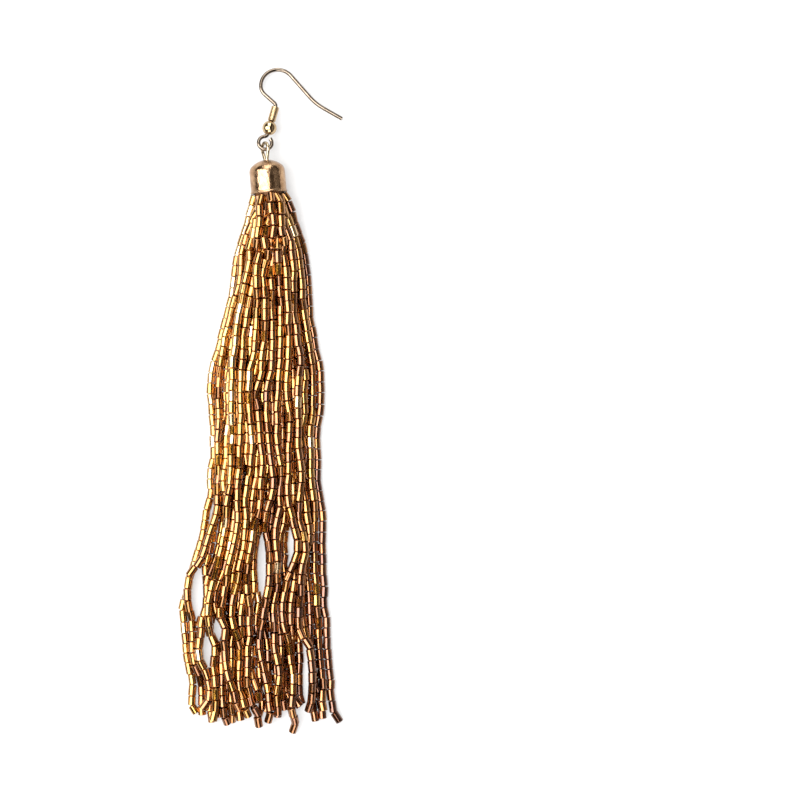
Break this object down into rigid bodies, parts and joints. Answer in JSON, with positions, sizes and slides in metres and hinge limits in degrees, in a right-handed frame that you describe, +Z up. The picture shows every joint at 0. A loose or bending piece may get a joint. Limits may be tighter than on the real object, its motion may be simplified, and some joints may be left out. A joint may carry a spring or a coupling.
{
  "type": "tassel earring",
  "caption": "Long drop earring lying flat: bent ear wire with a coil and a ball, linked to a domed metal cap that holds a fringe of amber-gold tube-bead strands.",
  "frame": {"origin": "middle of the lying earring's bounding box, on the surface it lies on", "axes": "+X across the fringe to the side the ear wire's tail points to, +Y from the fringe's end to the ear wire, +Z up from the surface"},
  "size_m": [0.0343, 0.1408, 0.0078],
  "materials": {
    "hook_wire": "polished pale silver-gold wire",
    "hook_trim": "polished pale gold",
    "eye_wire": "polished pale gold wire",
    "cap_metal": "polished pale rose gold",
    "beads": "glossy amber-gold lined glass"
  },
  "bodies": {
    "root": {"ear_hook": "hook_wire", "hook_coil": "hook_trim", "hook_ball": "hook_trim", "cap_eye": "eye_wire", "tassel_cap": "cap_metal", "bead_tassel": "beads"}
  },
  "joints": []
}
